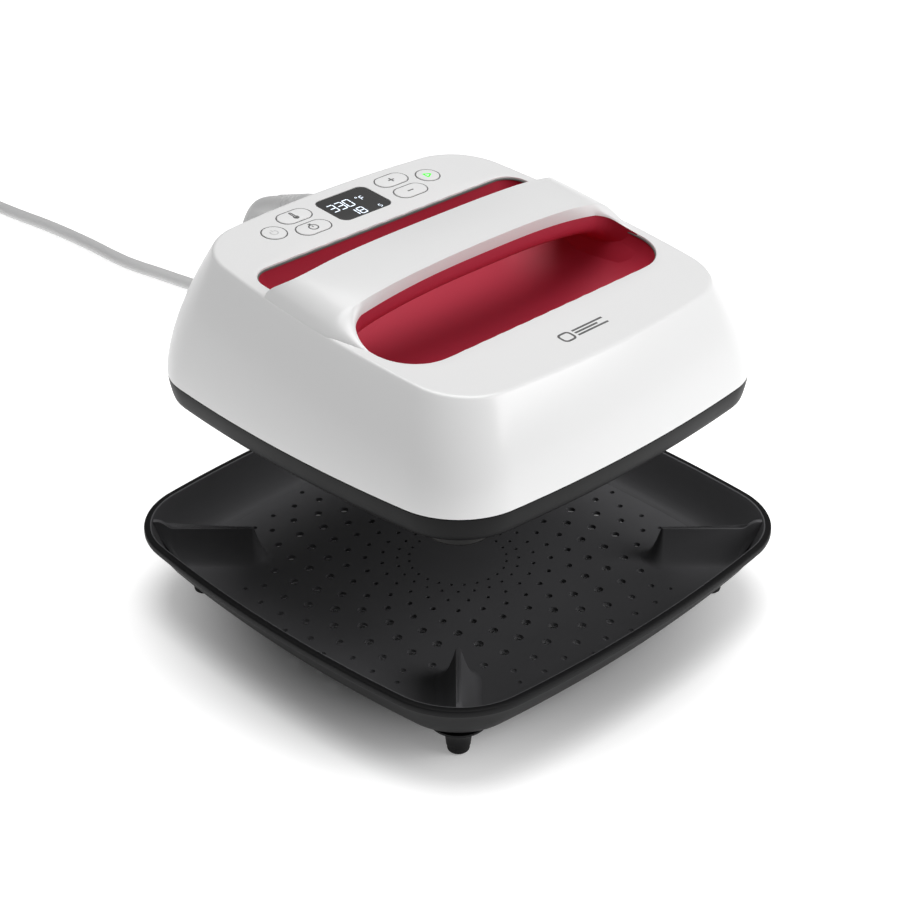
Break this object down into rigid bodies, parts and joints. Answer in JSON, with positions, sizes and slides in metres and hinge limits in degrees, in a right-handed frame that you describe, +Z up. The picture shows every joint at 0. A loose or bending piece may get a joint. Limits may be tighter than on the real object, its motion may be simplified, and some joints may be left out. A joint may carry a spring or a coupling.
{
  "type": "heat press",
  "caption": "Square hand heat press with an arched handle over a hand well and a rear control panel, hovering over its dished base tray with ledges at the corners.",
  "frame": {"origin": "middle of the base tray, on the table its foot pads stand on", "axes": "+X to the user's right, +Y to the rear where the cord leaves, +Z up"},
  "size_m": [0.3039, 0.9494, 0.236],
  "materials": {
    "white_shell": "satin",
    "black_tray": "fine texture",
    "black_rubber": "matte",
    "dark_skirt": "fine texture",
    "red_plastic": "satin",
    "ceramic_coat": "dark ceramic coat",
    "button_white": "satin",
    "smoked_window": "smoked",
    "element_steel": "oxidised",
    "glass_wool": "needled mat",
    "sheet_steel": "zinc plated",
    "green_board": "solder mask",
    "silicone": "matte",
    "dark_plastic": "moulded",
    "blue_plastic": "moulded",
    "ceramic_white": "glazed",
    "grey_cord": "soft vinyl",
    "grey_plug": "soft vinyl",
    "brass_pin": "bright"
  },
  "bodies": {
    "base": {"tray_floor": "black_tray", "tray_wall": "black_tray", "corner_support_1": "black_tray", "corner_support_2": "black_tray", "corner_support_3": "black_tray", "corner_support_4": "black_tray", "foot_1": "black_tray", "foot_2": "black_tray", "foot_3": "black_tray", "foot_4": "black_tray", "foot_pad_1": "black_rubber", "foot_pad_2": "black_rubber", "foot_pad_3": "black_rubber", "foot_pad_4": "black_rubber", "power_cord": "grey_cord", "cord_coil": "grey_cord", "mains_plug": "grey_plug", "plug_blade_left": "brass_pin", "plug_blade_right": "brass_pin", "plug_earth_pin": "brass_pin"},
    "press": {"upper_shell": "white_shell", "handle_grip": "red_plastic", "well_liner": "red_plastic", "skirt": "dark_skirt", "heat_plate": "ceramic_coat", "heating_element": "element_steel", "insulation_blanket": "glass_wool", "heat_shield": "sheet_steel", "shield_post_1": "element_steel", "shield_post_2": "element_steel", "shield_post_3": "element_steel", "shield_post_4": "element_steel", "shield_screw_1": "sheet_steel", "shield_screw_2": "sheet_steel", "shield_screw_3": "sheet_steel", "shield_screw_4": "sheet_steel", "limit_thermostat": "ceramic_white", "thermal_fuse": "sheet_steel", "temperature_sensor": "element_steel", "display_window": "smoked_window", "display_module": "dark_plastic", "keypad_left": "silicone", "keypad_right": "silicone", "control_board": "green_board", "buzzer": "dark_plastic", "power_board": "green_board", "board_post_left": "dark_plastic", "board_post_right": "dark_plastic", "relay": "blue_plastic", "terminal_block": "dark_plastic", "line_fuse": "ceramic_white", "inner_lead": "dark_plastic", "strain_relief": "grey_cord"},
    "power_button": {"power_button": "button_white"},
    "temperature_button": {"temperature_button": "button_white"},
    "time_button": {"time_button": "button_white"},
    "plus_button": {"plus_button": "button_white"},
    "minus_button": {"minus_button": "button_white"},
    "start_button": {"start_button": "button_white"}
  },
  "joints": [
    {"name": "press_lift", "type": "slide", "parent": "base", "child": "press", "axis": [0, 0, 1], "range_m": [-0.0845, 0.03], "deforming": ["power_cord"]},
    {"name": "power_press", "type": "slide", "parent": "press", "child": "power_button", "axis": [0, -0.0975, 0.9952], "range_m": [-0.0005, 0], "stiffness_N_per_m": 1500},
    {"name": "temperature_press", "type": "slide", "parent": "press", "child": "temperature_button", "axis": [0, -0.0975, 0.9952], "range_m": [-0.0005, 0], "stiffness_N_per_m": 1500},
    {"name": "time_press", "type": "slide", "parent": "press", "child": "time_button", "axis": [0, -0.0975, 0.9952], "range_m": [-0.0005, 0], "stiffness_N_per_m": 1500},
    {"name": "plus_press", "type": "slide", "parent": "press", "child": "plus_button", "axis": [0, -0.0975, 0.9952], "range_m": [-0.0005, 0], "stiffness_N_per_m": 1500},
    {"name": "minus_press", "type": "slide", "parent": "press", "child": "minus_button", "axis": [0, -0.0975, 0.9952], "range_m": [-0.0005, 0], "stiffness_N_per_m": 1500},
    {"name": "start_press", "type": "slide", "parent": "press", "child": "start_button", "axis": [0, -0.0975, 0.9952], "range_m": [-0.0005, 0], "stiffness_N_per_m": 1500}
  ]
}
